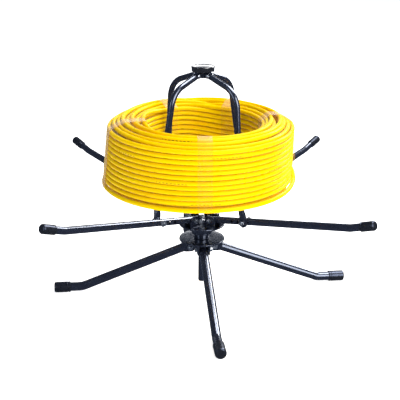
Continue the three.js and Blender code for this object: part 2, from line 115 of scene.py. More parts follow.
# ---------------------------------------------------------------- camera
AIM = Vector((-0.0037, 0.0004, 0.1705))
DISTANCE, AZIMUTH, ELEVATION, ROLL, LENS = 1.508, -6.51, 19.5, 0.36, 75.05


def add_camera():
    """A camera that looks at AIM from in front and above."""
    a, e = math.radians(AZIMUTH), math.radians(ELEVATION)
    back = Vector((math.sin(a) * math.cos(e), -math.cos(a) * math.cos(e), math.sin(e)))
    camera = bpy.data.objects.new("camera", bpy.data.cameras.new("camera"))
    camera.data.lens = LENS
    camera.data.sensor_width = 36
    turned = (-back).to_track_quat("-Z", "Y").to_matrix().to_4x4()
    roll = Matrix.Rotation(math.radians(ROLL), 4, "Z")
    camera.matrix_world = Matrix.Translation(AIM + back * DISTANCE) @ turned @ roll
    bpy.context.scene.collection.objects.link(camera)
    bpy.context.scene.camera = camera


# ---------------------------------------------------------------- node materials
class Paint:
    """A node material with one Principled shader, and short ways to add nodes to it."""

    def __init__(self, name, **constants):
        self.material = bpy.data.materials.new(name)
        self.material.use_nodes = True
        self.tree = self.material.node_tree
        self.shader = self.tree.nodes["Principled BSDF"]
        self.feed(self.shader, constants)

    def connect(self, socket, value):
        """Links a socket to another node's output, or sets it to a constant."""
        if isinstance(value, bpy.types.NodeSocket):
            self.tree.links.new(value, socket)
        else:
            socket.default_value = value

    def feed(self, node, inputs):
        for key, value in inputs.items():
            self.connect(node.inputs[key.replace("_", " ")], value)

    def add(self, kind, **inputs):
        node = self.tree.nodes.new("ShaderNode" + kind)
        self.feed(node, inputs)
        return node

    def coordinates(self, output="Object"):
        return self.add("TexCoord").outputs[output]

    def noise(self, scale, detail=2.0, vector=None):
        where = vector or self.coordinates()
        return self.add("TexNoise", Vector=where, Scale=scale, Detail=detail).outputs["Fac"]

    def spread(self, value, low, high, from_low=0.3, from_high=0.7):
        """The value, mapped onto low to high."""
        source = {"Value": value, "From_Min": from_low, "From_Max": from_high}
        return self.add("MapRange", **source, To_Min=low, To_Max=high).outputs["Result"]

    def math(self, operation, a, b=0.0):
        node = self.tree.nodes.new("ShaderNodeMath")
        node.operation = operation
        self.connect(node.inputs[0], a)
        self.connect(node.inputs[1], b)
        return node.outputs[0]

    def mix(self, factor, a, b):
        """A colour between a and b, by factor."""
        node = self.tree.nodes.new("ShaderNodeMix")
        node.data_type = "RGBA"
        self.connect(node.inputs[0], factor)
        self.connect(node.inputs[6], a)
        self.connect(node.inputs[7], b)
        return node.outputs[2]

    def bump(self, height, strength, distance, under=None):
        inputs = {"Height": height, "Strength": strength, "Distance": distance}
        if under:
            inputs["Normal"] = under
        return self.add("Bump", **inputs).outputs["Normal"]

    def finish(self, **inputs):
        self.feed(self.shader, inputs)
        return self.material


def powder_coat():
    """Glossy black powder coat with orange peel, faint tone changes and rubbed edges."""
    paint = Paint("black_powder_coat", Specular_IOR_Level=1.0, Specular_Tint=(0.58, 0.7, 1.0, 1))
    tone = paint.mix(paint.noise(34, 3), (0.0042, 0.0052, 0.0105, 1), (0.0085, 0.0105, 0.019, 1))
    edge = paint.add("NewGeometry").outputs["Pointiness"]
    rubbed = paint.spread(edge, 0.0, 0.55, 0.56, 0.68)
    patchy = paint.math("MULTIPLY", rubbed, paint.spread(paint.noise(160, 4), 0.0, 1.0, 0.48, 0.62))
    peel = paint.bump(paint.noise(620, 1.5), 0.02, 0.0001)
    return paint.finish(
        Base_Color=paint.mix(patchy, tone, (0.035, 0.037, 0.042, 1)),
        Roughness=paint.spread(paint.noise(90, 3), 0.17, 0.29),
        Normal=paint.bump(paint.noise(70, 2), 0.03, 0.0003, peel),
        Coat_Weight=0.9,
        Coat_Roughness=0.16,
    )


def moulded_plastic():
    """Matte black plastic with a fine moulded texture and dusty scuffs."""
    paint = Paint("black_plastic", Specular_IOR_Level=0.8, Specular_Tint=(0.6, 0.7, 1.0, 1))
    scuffs = paint.spread(paint.noise(120, 5), 0.0, 0.3, 0.58, 0.75)
    tone = paint.mix(paint.noise(40, 2), (0.004, 0.0042, 0.005, 1), (0.008, 0.0085, 0.0095, 1))
    return paint.finish(
        Base_Color=paint.mix(scuffs, tone, (0.02, 0.021, 0.023, 1)),
        Roughness=paint.spread(paint.noise(200, 3), 0.24, 0.36),
        Normal=paint.bump(paint.noise(1500, 2), 0.15, 0.0001),
    )


def polished_plastic():
    """Glossy black plastic with hairline scratches."""
    paint = Paint("gloss_black_plastic", Specular_IOR_Level=0.7, Coat_Weight=1.0, Coat_Roughness=0.04)
    scratches = paint.bump(paint.noise(900, 6), 0.04, 0.0001)
    return paint.finish(
        Base_Color=paint.mix(paint.noise(50, 3), (0.005, 0.005, 0.007, 1), (0.009, 0.009, 0.012, 1)),
        Roughness=paint.spread(paint.noise(140, 4), 0.1, 0.2),
        Normal=scratches,
    )


def plated(name, light, dark, low, high):
    """Plated or ground steel with a mottled tone and fine grain."""
    paint = Paint(name, Metallic=1.0)
    mottle = paint.noise(420, 4)
    return paint.finish(
        Base_Color=paint.mix(paint.spread(mottle, 0.0, 1.0), dark, light),
        Roughness=paint.spread(paint.noise(260, 3), low, high),
        Normal=paint.bump(paint.noise(1800, 2), 0.12, 0.00008),
    )


def copper():
    paint = Paint("bare_copper", Metallic=1.0)
    return paint.finish(
        Base_Color=paint.mix(paint.noise(800, 3), (0.62, 0.24, 0.12, 1), (0.86, 0.42, 0.25, 1)),
        Roughness=paint.spread(paint.noise(500, 2), 0.25, 0.42),
    )


INK_EVERY, INK_RUN, INK_DASH, INK_HALF = 0.83, 0.05, 0.0062, 0.03


def yellow_pvc():
    """Glossy yellow PVC jacket. The U of its map runs along the cable in metres, V goes round it."""
    paint = Paint("yellow_pvc", Specular_IOR_Level=0.1, Specular_Tint=(1.0, 0.8, 0.25, 1))
    split = paint.add("SeparateXYZ", Vector=paint.coordinates("UV"))
    run, round_it = split.outputs["X"], split.outputs["Y"]
    along_it, across_it = paint.math("MULTIPLY", run, 6.0), paint.math("MULTIPLY", round_it, 3.0)
    stretched = paint.add("CombineXYZ", X=along_it, Y=across_it)
    tone = paint.mix(
        paint.spread(paint.noise(1.0, 4, stretched.outputs["Vector"]), 0.0, 1.0, 0.35, 0.65),
        (0.84, 0.49, 0.0, 1),
        (0.88, 0.6, 0.0, 1),
    )
    dust = paint.spread(paint.noise(55, 5), 0.0, 0.12, 0.55, 0.75)
    tone = paint.mix(dust, tone, (0.7, 0.36, 0.02, 1))
    in_run = paint.math("LESS_THAN", paint.math("MODULO", run, INK_EVERY), INK_RUN)
    in_dash = paint.math("LESS_THAN", paint.math("MODULO", run, INK_DASH), INK_DASH * 0.6)
    off_line = paint.math("ABSOLUTE", paint.math("SUBTRACT", round_it, 0.97))
    beside = paint.math("LESS_THAN", off_line, INK_HALF)
    ink = paint.math("MULTIPLY", paint.math("MULTIPLY", in_run, in_dash), beside)
    ink = paint.math("MULTIPLY", ink, paint.spread(paint.noise(700, 3), 0.45, 0.85))
    skin = paint.bump(paint.noise(340, 2), 0.12, 0.00025)
    return paint.finish(
        Base_Color=paint.mix(ink, tone, (0.035, 0.025, 0.01, 1)),
        Roughness=paint.spread(paint.noise(80, 3), 0.22, 0.36),
        Normal=skin,
    )


def clear_tape():
    """Clear packing film with fine wrinkles. It is painted paler and more opaque on top of the roll and at
    the coil's sides, a painted sheen.
    """
    paint = Paint("clear_tape", IOR=1.45)
    place = paint.add("SeparateXYZ", Vector=paint.coordinates()).outputs
    # Painted sheen: the film is made paler and more opaque at the coil's sides (large |X|) and on top of
    # the roll.
    beside = paint.spread(paint.math("ABSOLUTE", place["X"]), 0.0, 0.7, 0.06, 0.13)
    top_sheen = paint.spread(place["Z"], 0.0, 0.6, 0.318, 0.323)
    painted_sheen = paint.math("MAXIMUM", beside, top_sheen)
    # There the base colour turns from the amber film to a pale painted sheen, and the alpha below rises
    # with it.
    film_and_painted_sheen = paint.mix(painted_sheen, (0.8, 0.42, 0.08, 1), (0.95, 0.78, 0.52, 1))
    streaks = paint.spread(paint.noise(60, 4), 0.6, 1.4)
    coords = paint.add("Mapping", Vector=paint.coordinates(), Scale=(1.0, 1.0, 0.35)).outputs["Vector"]
    wrinkles = paint.noise(160, 4, coords)
    return paint.finish(
        Base_Color=film_and_painted_sheen,
        Roughness=paint.spread(paint.noise(220, 2), 0.14, 0.3),
        Normal=paint.bump(wrinkles, 0.5, 0.0004),
        Alpha=paint.math("MULTIPLY", paint.spread(painted_sheen, 0.045, 0.3, 0.0, 1.0), streaks),
    )


MATERIALS = {
    "black_powder_coat": powder_coat(),
    "black_plastic": moulded_plastic(),
    "gloss_black_plastic": polished_plastic(),
    "zinc_plate": plated("zinc_plate", (0.8, 0.82, 0.85, 1), (0.52, 0.54, 0.58, 1), 0.2, 0.36),
    "bearing_steel": plated("bearing_steel", (0.34, 0.35, 0.37, 1), (0.2, 0.21, 0.22, 1), 0.18, 0.32),
    "yellow_pvc": yellow_pvc(),
    "clear_tape": clear_tape(),
    "bare_copper": copper(),
}


# ---------------------------------------------------------------- mesh tools
def edited(mesh, action):
    """Runs action on the mesh as a bmesh, and writes it back."""
    work = bmesh.new()
    work.from_mesh(mesh)
    action(work)
    work.to_mesh(mesh)
    work.free()
    return mesh


def cleaned(mesh):
    """The mesh with doubled points merged and its faces turned outward."""

    def action(work):
        bmesh.ops.remove_doubles(work, verts=work.verts, dist=1e-7)
        bmesh.ops.recalc_face_normals(work, faces=work.faces)

    return edited(mesh, action)


def smooth(mesh, angle=35):
    """Smooth shading, with the edges sharper than angle left crisp."""
    mesh.shade_smooth()
    mesh.set_sharp_from_angle(angle=math.radians(angle))
    return mesh


def skin(name, rings, loop=False):
    """A closed mesh through rings of points.

    With loop the last ring meets the first. Without it a face closes each end.
    """
    count = len(rings[0])
    faces = []
    for i in range(len(rings) if loop else len(rings) - 1):
        here = i * count
        there = (i + 1) % len(rings) * count
        for j in range(count):
            k = (j + 1) % count
            faces.append((here + j, here + k, there + k, there + j))
    if not loop:
        faces.append(tuple(reversed(range(count))))
        faces.append(tuple(range((len(rings) - 1) * count, len(rings) * count)))
    mesh = bpy.data.meshes.new(name)
    mesh.from_pydata([p for ring in rings for p in ring], [], faces)
    return smooth(cleaned(mesh))


def joined(name, parts):
    """One mesh from (mesh, matrix) pairs."""
    work = bmesh.new()
    for mesh, matrix in parts:
        moved = mesh.copy()
        moved.transform(matrix)
        work.from_mesh(moved)
        bpy.data.meshes.remove(moved)
    mesh = bpy.data.meshes.new(name)
    work.to_mesh(mesh)
    work.free()
    return smooth(mesh)


def cut(mesh, cutters):
    """The mesh with each cutter mesh taken away from it."""
    scene = bpy.context.scene.collection.objects
    body = bpy.data.objects.new("cut_body", mesh)
    tools = [bpy.data.objects.new("cut_tool", cutter) for cutter in cutters]
    for thing in [body, *tools]:
        scene.link(thing)
    for tool in tools:
        modifier = body.modifiers.new("cut", "BOOLEAN")
        modifier.operation = "DIFFERENCE"
        modifier.solver = "EXACT"
        modifier.object = tool
    result = bpy.data.meshes.new_from_object(body.evaluated_get(bpy.context.evaluated_depsgraph_get()))
    result.name = mesh.name
    for thing in [body, *tools]:
        bpy.data.objects.remove(thing)
    return smooth(cleaned(result))


def circle(radius, sides=48):
    turns = [2 * math.pi * i / sides for i in range(sides)]
    return [(radius * math.cos(turn), radius * math.sin(turn)) for turn in turns]


def turned(name, profile, sides=64):
    """A body turned round Z from (radius, height) points, closed on itself unless it starts on the axis."""
    rings = [[(r * x, r * y, z) for x, y in circle(1, sides)] for r, z in profile]
    return skin(name, rings, loop=profile[0][0] > 0)


def rounded(outline, radius, steps=4):
    """A closed 2-D outline with rounded corners. A corner's third number is a radius of its own."""
    made = []
    count = len(outline)
    for i, corner in enumerate(outline):
        here = Vector(corner[:2])
        back = Vector(outline[i - 1][:2]) - here
        ahead = Vector(outline[(i + 1) % count][:2]) - here
        size = corner[2] if len(corner) > 2 else radius
        half = back.angle(ahead) / 2
        if size <= 0 or half > math.radians(89):
            made.append(tuple(here))
            continue
        reach = min(size / math.tan(half), 0.48 * back.length, 0.48 * ahead.length)
        start, end = here + back.normalized() * reach, here + ahead.normalized() * reach
        for j in range(steps + 1):
            t = j / steps
            point = start * (1 - t) ** 2 + here * 2 * t * (1 - t) + end * t**2
            made.append(tuple(point))
    return made


def inset(outline, distance):
    """A closed convex outline moved inward."""
    middle = sum((Vector(p) for p in outline), Vector((0, 0))) / len(outline)
    made = []
    for i, p in enumerate(outline):
        edge = Vector(outline[(i + 1) % len(outline)]) - Vector(outline[i - 1])
        normal = Vector((edge.y, -edge.x)).normalized()
        if normal.dot(middle - Vector(p)) < 0:
            normal.negate()
        made.append(tuple(Vector(p) + normal * distance))
    return made


def side_plate(name, outline, start, thick, bevel=0.4 * MM):
    """A plate with broken edges whose outline lies in X-Z, from y = start, thick along +Y."""
    small = inset(outline, bevel)
    levels = [(small, 0), (outline, bevel), (outline, thick - bevel), (small, thick)]
    return skin(name, [[(x, start + y, z) for x, z in points] for points, y in levels])


def cross_pin(radius, x, z, sides=32):
    """A cutting cylinder parallel to Y through (x, z)."""
    edge = [(x + a, z + b) for a, b in circle(radius, sides)]
    return skin("pin", [[(a, y, b) for a, b in edge] for y in (-CUT_REACH, CUT_REACH)])


def quarter(steps):
    """(cosine, sine) pairs from 0 to 90 degrees."""
    turns = [math.pi / 2 * i / steps for i in range(steps + 1)]
    return [(math.cos(turn), math.sin(turn)) for turn in turns]


def bent_path(start, corner, end, radius, steps):
    """Points of a line through three corners whose middle corner is an arc of that radius."""
    arriving = (corner - start).normalized()
    leaving = (end - corner).normalized()
    turn = arriving.angle(leaving)
    inward = (leaving - arriving * math.cos(turn)).normalized()
    arc_start = corner - arriving * radius * math.tan(turn / 2)
    path = [start]
    for i in range(steps + 1):
        angle = turn * i / steps
        sideways_by, ahead_by = radius * (1 - math.cos(angle)), radius * math.sin(angle)
        path.append(arc_start + inward * sideways_by + arriving * ahead_by)
    return [*path, end]


def stations_of(path):
    """At each point of a path near the X-Z plane: the point, and the two directions across the path."""
    for i, point in enumerate(path):
        back = (point - path[max(i - 1, 0)]).normalized()
        ahead = (path[min(i + 1, len(path) - 1)] - point).normalized()
        tangent = (back + ahead).normalized()
        side = (Vector((0, 1, 0)) - tangent * tangent.y).normalized()
        yield point, side, tangent.cross(side)


def tube(name, path, radius, wall, sides=40):
    """A round tube along a path, open at both ends."""

    def rings(size):
        return [[p + a * x + b * y for x, y in circle(size, sides)] for p, a, b in stations_of(path)]

    return skin(name, rings(radius) + rings(radius - wall)[::-1], loop=True)


def add_piece(name, mesh, body, finish, nodes=(), matrix=None):
    """Shows a mesh as a piece that rides on a body, in place of the CAD nodes named."""
    if not mesh.materials:
        mesh.materials.append(MATERIALS[finish])
    piece = bpy.data.objects.new(name, mesh)
    bpy.context.scene.collection.objects.link(piece)
    if matrix:
        piece.matrix_world = matrix
    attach(piece, body)
    if nodes:
        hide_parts(*nodes)
    return piece


def station(azimuth, offset=(0, 0, 0)):
    """The place of a station: +X outward at that azimuth."""
    return Matrix.Rotation(math.radians(azimuth - 90), 4, "Z") @ Matrix.Translation(offset)


# ---------------------------------------------------------------- coil of cable
CABLE = 8.0 * MM
PITCH = 8.42 * MM  # height of one turn above the next
LOWEST_TURN = 209 * MM
HIGHEST_TURN = 318.5 * MM
LAYER_TURNS = (13, 13, 14, 13, 14, 13, 13, 11)
INNER_LAYERS = 4
FOOT_RADII = (108.8 * MM, 164 * MM)  # centre of the innermost and the outermost layer, at the foot
TOP_RADII = (106 * MM, 159.5 * MM)  # and at the top
WINDING_START = 200  # azimuth where one turn steps over to the next
STEP_SHARE = 0.14  # share of a turn that the step takes
TURN_STEPS = 60
CABLE_SIDES = 12
OFFSET = -6 * MM  # how far the outermost layer lies towards +X, as the layers are packed tighter there
LEAN = 3.5 * MM  # how far it leans towards +X at its top, and away from it at its foot
SWELL = 0.035  # share by which the coil is higher at the back than at its sides
# Places where a top turn lies off its row: layer, azimuth, half width in degrees, outward, up.
STRAY = (
    (0, 262, 62, -2.2 * MM, 8.5 * MM),
    (1, 285, 40, -0.5 * MM, -2.0 * MM),
    (2, 318, 45, 0.8 * MM, 1.2 * MM),
    (3, 88, 42, -2.0 * MM, -2.5 * MM),
    (4, 92, 46, 1.6 * MM, 0.6 * MM),
    (5, 40, 50, 0.6 * MM, 1.6 * MM),
    (6, 300, 60, -0.6 * MM, 1.8 * MM),
    (7, 60, 70, 0.8 * MM, 1.2 * MM),
)
# The loose outer end: azimuth in degrees, radius and height in mm. It leaves the last turn, runs
# round the foot of the coil, stands away from it on one side and climbs to where the tape holds it.
LOOSE_END = (
    (200, 163.6, 221.7),
    (235, 165.0, 214.0),
    (275, 165.6, 212.4),
    (320, 166.2, 211.4),
    (360, 166.8, 210.8),
    (395, 167.4, 210.6),
    (422, 168.8, 212.4),
    (448, 172.0, 220.0),
    (468, 171.8, 231.0),
    (484, 171.0, 242.0),
    (500, 170.2, 251.0),
    (516, 170.0, 258.0),
)
TAPE_AZIMUTHS = (-5, 92, 147, 207, 279)
TAPE_HALF, TAPE_THICK, TAPE_CLEAR = 12 * MM, 0.2 * MM, 0.25 * MM


def ease(t):
    t = min(max(t, 0.0), 1.0)
    return t * t * (3 - 2 * t)


def blend(a, b, t):
    return a + (b - a) * t


def layer_radius(layer, height):
    share = layer / (len(LAYER_TURNS) - 1)
    rise = (height - LOWEST_TURN) / (HIGHEST_TURN - LOWEST_TURN)
    return blend(blend(*FOOT_RADII, share), blend(*TOP_RADII, share), rise)


def on_coil(azimuth, radius, layer, height):
    """A point of the coil from its azimuth, radius, layer and height above the floor."""
    share = layer / (len(LAYER_TURNS) - 1)
    middle = (LOWEST_TURN + HIGHEST_TURN) / 2
    shift = OFFSET * share + LEAN * share**2 * (height - middle) / (HIGHEST_TURN - middle)
    turn = math.radians(azimuth)
    rise = 1 + SWELL * (1 - math.cos(turn))
    height = LOWEST_TURN + (height - LOWEST_TURN) * rise
    return Vector((radius * math.sin(turn) + shift, -radius * math.cos(turn), height))


def turns_of(layers):
    """(layer, height, whether it is a top turn) of each turn, in the order that they are wound."""
    turns = []
    for layer in layers:
        count = LAYER_TURNS[layer]
        lowest = LOWEST_TURN + (PITCH / 2 if layer % 2 else 0)
        if layer == len(LAYER_TURNS) - 1:
            lowest += PITCH
        rows = [(layer, lowest + PITCH * k, k == count - 1) for k in range(count)]
        turns += rows[::-1] if layer % 2 else rows
    return turns


def stray(layer, azimuth):
    """How far a top turn lies off its row there, outward and up."""
    outward = up = 0.0
    for at, middle, half, out, lift in STRAY:
        if at == layer:
            share = 1 - abs((azimuth - middle + 180) % 360 - 180) / half
            outward += out * ease(share)
            up += lift * ease(share)
    return outward, up


def wound(layers):
    """The cable's middle through those layers: level turns, each with a step over to the next."""
    turns = turns_of(layers)
    points = []
    for i, (layer, height, top) in enumerate(turns):
        next_layer, next_height, next_top = turns[min(i + 1, len(turns) - 1)]
        for step in range(TURN_STEPS):
            share = step / TURN_STEPS
            azimuth = WINDING_START + 360 * share
            moved = ease((share - 1 + STEP_SHARE) / STEP_SHARE)
            loose = blend(float(top), float(next_top), moved)
            outward, up = stray(layer, azimuth) if top else (0.0, 0.0)
            wander = 2 * math.pi * (i + share)
            swing = blend(0.22, 0.55, loose) * MM
            outward += swing * (math.sin(2.31 * wander) + 0.5 * math.sin(5.77 * wander + 1))
            up += 0.6 * swing * (math.sin(1.71 * wander + 2) + 0.5 * math.sin(4.39 * wander))
            at, level = blend(layer, next_layer, moved), blend(height, next_height, moved)
            points.append(on_coil(azimuth, layer_radius(at, level) + outward, at, level + up))
    return points


def loose_end():
    """The outer end of the cable, on a smooth line through LOOSE_END."""
    last = len(LOOSE_END) - 1
    points = []
    for i in range(last):
        a, b, c, d = (Vector(LOOSE_END[min(max(k, 0), last)]) for k in (i - 1, i, i + 1, i + 2))
        steps = max(2, round((c.x - b.x) * TURN_STEPS / 360))
        for j in range(steps + (i == last - 1)):
            t = j / steps
            bend, twist = 2 * a - 5 * b + 4 * c - d, 3 * b - a - 3 * c + d
            at = 0.5 * (2 * b + (c - a) * t + bend * t**2 + twist * t**3)
            points.append(on_coil(blend(b.x, c.x, t), at.y * MM, len(LAYER_TURNS) - 1, at.z * MM))
    return points


def cable_mesh(name, path):
    """A round cable along a nearly level path, with U along it in metres and V round it."""
    rings, run = [], [0.0]
    for i, point in enumerate(path):
        tangent = (path[min(i + 1, len(path) - 1)] - path[max(i - 1, 0)]).normalized()
        side = tangent.cross(Vector((0, 0, 1))).normalized()
        up = side.cross(tangent)
        rings.append([point + side * x + up * y for x, y in circle(CABLE / 2, CABLE_SIDES)])
        if i:
            run.append(run[-1] + (point - path[i - 1]).length)
    mesh = skin(name, rings)
    where = [(run[i], j / CABLE_SIDES) for i in range(len(path)) for j in range(CABLE_SIDES)]
    layer = mesh.uv_layers.new(name="UVMap")
    for face in mesh.polygons:
        seam = max(where[v][1] for v in face.vertices) > 0.8
        for corner in face.loop_indices:
            u, v = where[mesh.loops[corner].vertex_index]
            layer.data[corner].uv = (u, v + 1 if seam and v < 0.2 else v)
    return smooth(mesh, 60)


def add_strands(name, end, direction):
    """The copper strands that show at a cut end of the cable."""
    turn = direction.to_track_quat("Z", "Y").to_matrix().to_4x4()
    outline = [(0, -1.5), (0.62, -1.5), (0.62, 2.6), (0.4, 2.9), (0, 2.9)]
    rod = turned("strand", [(r * MM, z * MM) for r, z in outline], 12)
    places = [(0, 0)] + circle(1.28 * MM, 6)
    parts = [(rod, Matrix.Translation((x, y, 0))) for x, y in places]
    place = Matrix.Translation(end) @ turn
    return add_piece(name, joined(name, parts), "coil", "bare_copper", matrix=place)


def add_cable():
    inner = wound(range(INNER_LAYERS))
    outer = wound(range(INNER_LAYERS, len(LAYER_TURNS))) + loose_end()
    for name, path, node, start in (
        ("cable_inner_layers", inner, "coil_inner_turns", inner[0]),
        ("cable_outer_layers", outer, "coil_outer_turns", inner[-1]),
    ):
        piece = add_piece(name, cable_mesh(name, path), "coil", "yellow_pvc", [node])
        piece.visible_glossy = False  # or these strong lights would paint the black tubes yellow
        if path is inner:
            strands = add_strands("inner_end_strands", path[0], path[0] - path[1])
        else:
            strands = add_strands("outer_end_strands", path[-1], path[-1] - path[-2])
    return inner + outer


def add_tape(number, azimuth, path):
    """A band of film pulled tight round the coil's section."""
    dots = []
    for point in path:
        radius = math.hypot(point.x, point.y)
        around = math.degrees(math.atan2(point.x, -point.y))
        apart = math.radians((around - azimuth + 180) % 360 - 180) * radius
        if abs(apart) < TAPE_HALF * 1.2:
            size = CABLE / 2 + TAPE_CLEAR
            dots += [(radius + x, point.z + z) for x, z in circle(size, 20)]
    outline = [Vector(dots[i]) for i in geometry.convex_hull_2d(dots)]
    rings = []
    for i, here in enumerate(outline):
        edge = (outline[(i + 1) % len(outline)] - outline[i - 1]).normalized()
        outward = Vector((edge.y, -edge.x))
        width = TAPE_HALF * (1 + 0.03 * math.sin(9 * i + number))
        across = [-1, -0.5, 0, 0.5, 1]
        ring = []
        for lift, row in ((0, across), (TAPE_THICK, across[::-1])):
            at = here + outward * lift
            for share in row:
                turn = math.radians(azimuth) + width * share / at.x
                ring.append((at.x * math.sin(turn), -at.x * math.cos(turn), at.y))
        rings.append(ring)
    name = f"tape_band_{number}"
    add_piece(name, skin(name, rings, loop=True), "coil", "clear_tape")


# ---------------------------------------------------------------- fasteners
def hexagon_reach(turn, across):
    """Distance from the middle of a hexagon to its edge, in that direction."""
    return across / 2 / math.cos(turn % (math.pi / 3) - math.pi / 6)


def fastener_ring(height, radius=None, across=None, cone=None):
    """One ring of a fastener: a circle, or a hexagon.

    A cone of (radius, end height, direction) cuts the hexagon's corners.
    """
    ring = []
    for i in range(48):
        turn = 2 * math.pi * i / 48
        size, level = radius, height
        if across:
            size = hexagon_reach(turn, across)
        if cone:
            level = cone[1] - cone[2] * (size - cone[0]) * math.tan(math.radians(30))
        ring.append((size * math.cos(turn), size * math.sin(turn), level))
    return ring


def thread_rings(radius, start, end, pitch=0.9 * MM):
    """Ridges of a thread from start to end, with a chamfered tip."""
    rings = []
    for i in range(int((end - start - 0.6 * MM) / pitch)):
        foot = start + i * pitch
        rings += [fastener_ring(foot, radius - 0.32 * MM), fastener_ring(foot + pitch / 2, radius)]
    tip = end - 0.6 * MM
    return rings + [fastener_ring(tip, radius - 0.1 * MM), fastener_ring(end, radius - 0.7 * MM)]


def bolt_mesh(name, bolt, length):
    """A hex bolt along +Z: its head ends at z = 0 and its shank is length long."""
    flange = 1.2 * MM if bolt["flange"] else 0
    top = -bolt["head"] - flange
    face = bolt["across"] * 0.47
    rings = [
        fastener_ring(top + 0.25 * MM, bolt["radius"] * 0.5),
        fastener_ring(top, bolt["radius"] * 0.9),
        fastener_ring(top, face),
        fastener_ring(0, across=bolt["across"], cone=(face, top, -1)),
        fastener_ring(-flange, across=bolt["across"]),
    ]
    if flange:
        rim = bolt["flange"]
        for height, radius in ((-flange, rim - 0.4 * MM), (-flange * 0.6, rim), (0, rim)):
            rings.append(fastener_ring(height, radius))
    rings += [fastener_ring(0, bolt["radius"]), fastener_ring(length * 0.6, bolt["radius"])]
    return skin(name, rings + thread_rings(bolt["radius"], length * 0.6, length))


def nut_mesh(name, across, bore, height):
    """A hex nut along +Z from z = 0, chamfered on both faces."""
    face = across * 0.47
    rings = [
        fastener_ring(0, bore + 0.3 * MM),
        fastener_ring(0, face),
        fastener_ring(0, across=across, cone=(face, 0, -1)),
        fastener_ring(0, across=across, cone=(face, height, 1)),
        fastener_ring(height, face),
        fastener_ring(height, bore + 0.3 * MM),
        fastener_ring(height - 0.3 * MM, bore),
        fastener_ring(0.3 * MM, bore),
    ]
    return skin(name, rings, loop=True)


def fastening(prefix, bolt, grip, past):
    """A bolt and its nut. The shank goes through grip and the nut, and ends past the nut."""
    made = bolt_mesh(f"{prefix}_bolt", bolt, grip + bolt["nut"] + past)
    return made, nut_mesh(f"{prefix}_nut", bolt["across"], bolt["radius"] + GAP, bolt["nut"])


def add_fastening(prefix, k, body, meshes, places):
    """Shows a station's bolt and nut."""
    for part, mesh, place in zip(("bolt", "nut"), meshes, places):
        add_piece(f"{prefix}_{k}_{part}", mesh, body, "zinc_plate", [f"{prefix}_{part}_{k}"], place)


def sideways(y, toward):
    """The place of a fastener at y on the Y axis, with its own +Z along toward, +1 or -1."""
    return Matrix.Translation((0, y, 0)) @ Matrix.Rotation(-toward * math.pi / 2, 4, "X")


# ---------------------------------------------------------------- hubs
def bracket_outline(root, tip, inner, outer):
    """A bracket's side plate in X-Z, from z = root to z = tip, rounded at its tip."""
    return rounded([(inner, root, 0), (outer, root, 0), (outer, tip), (inner, tip)], PLATE_CORNER * 1.4, 8)


def weld_bead(start, end, radius):
    """A rippled bead of weld between two points."""
    direction = end - start
    count = 3 * round(direction.length / (1.7 * MM))
    side = direction.cross(Vector((0, 0, 1))).normalized()
    rings = []
    for i in range(count + 1):
        share = i / count
        ripple = 0.86 + 0.16 * math.cos(2 * math.pi * i / 3)
        size = radius * ripple * min(1, 0.35 + 8 * min(share, 1 - share))
        centre = start + direction * share
        rings.append([centre + side * x + Vector((0, 0, y)) for x, y in circle(size, 10)])
    return skin("weld", rings)


def hub_mesh(name, disc_z, root, tip, pivot, plate_y, inner, outer, bolt_radius, azimuth):
    """A disc with four welded pairs of bracket plates."""
    low, high = disc_z - DISC_THICK / 2, disc_z + DISC_THICK / 2
    bore = SPINDLE_RADIUS + GAP
    section = [(bore, low, 0.2 * MM), (DISC_RADIUS, low), (DISC_RADIUS, high), (bore, high, 0.2 * MM)]
    disc = turned("disc", rounded(section, 0.9 * MM), 96)
    parts = [(disc, Matrix.Identity(4))]
    outline = bracket_outline(root, tip, inner, outer)
    surface = high if tip > disc_z else low
    for side in (1, -1):
        start = plate_y if side > 0 else -plate_y - PLATE_THICK
        plate = side_plate("plate", outline, start, PLATE_THICK)
        plate = cut(plate, [cross_pin(bolt_radius + GAP, pivot.x, pivot.z)])
        seam = side * (plate_y + PLATE_THICK + 0.3 * MM)
        near, far = inner + 1.2 * MM, outer - 1.2 * MM
        bead = weld_bead(Vector((near, seam, surface)), Vector((far, seam, surface)), 1.7 * MM)
        parts += [(mesh, station(azimuth + turn)) for turn in STATIONS for mesh in (plate, bead)]
    return joined(name, parts)


def add_hubs():
    lower_root = LOWER_DISC_Z - DISC_THICK / 2 + 0.8 * MM
    lower = hub_mesh(
        "base_hub", LOWER_DISC_Z, lower_root, LEG_PIVOT.z - 9.5 * MM, LEG_PIVOT,
        LEG_RADIUS + GAP, 13.5 * MM, 37 * MM, LEG_BOLT["radius"], LEG_AZIMUTH,
    )
    add_piece("base_hub", lower, "base", "black_powder_coat", ["lower_hub"])
    upper_root = UPPER_DISC_Z + DISC_THICK / 2 - 0.8 * MM
    upper = hub_mesh(
        "turntable_hub", UPPER_DISC_Z, upper_root, ARM_PIVOT.z + 8.5 * MM, ARM_PIVOT,
        ARM_RADIUS + GAP, 16 * MM, 38 * MM, ARM_BOLT["radius"], ARM_AZIMUTH,
    )
    add_piece("turntable_hub", upper, "turntable", "black_powder_coat", ["upper_hub"])


# ---------------------------------------------------------------- column, spindle and bearing
def add_column():
    top = LOWER_DISC_Z - DISC_THICK / 2 - GAP
    floor = SPINDLE_BOTTOM - GAP
    bore = SPINDLE_RADIUS - 1 * MM
    r = COLUMN_RADIUS
    profile = [(0, COLUMN_BOTTOM)]
    for cosine, sine in quarter(6):
        profile.append((r - 3 * MM * (1 - sine), COLUMN_BOTTOM + 3 * MM * (1 - cosine)))
    profile += [(r, top - 0.4 * MM), (r - 0.4 * MM, top), (bore, top), (bore, floor), (0, floor)]
    column = turned("column_rod", profile, 48)
    add_piece("column_rod", column, "base", "black_powder_coat", ["center_column"])


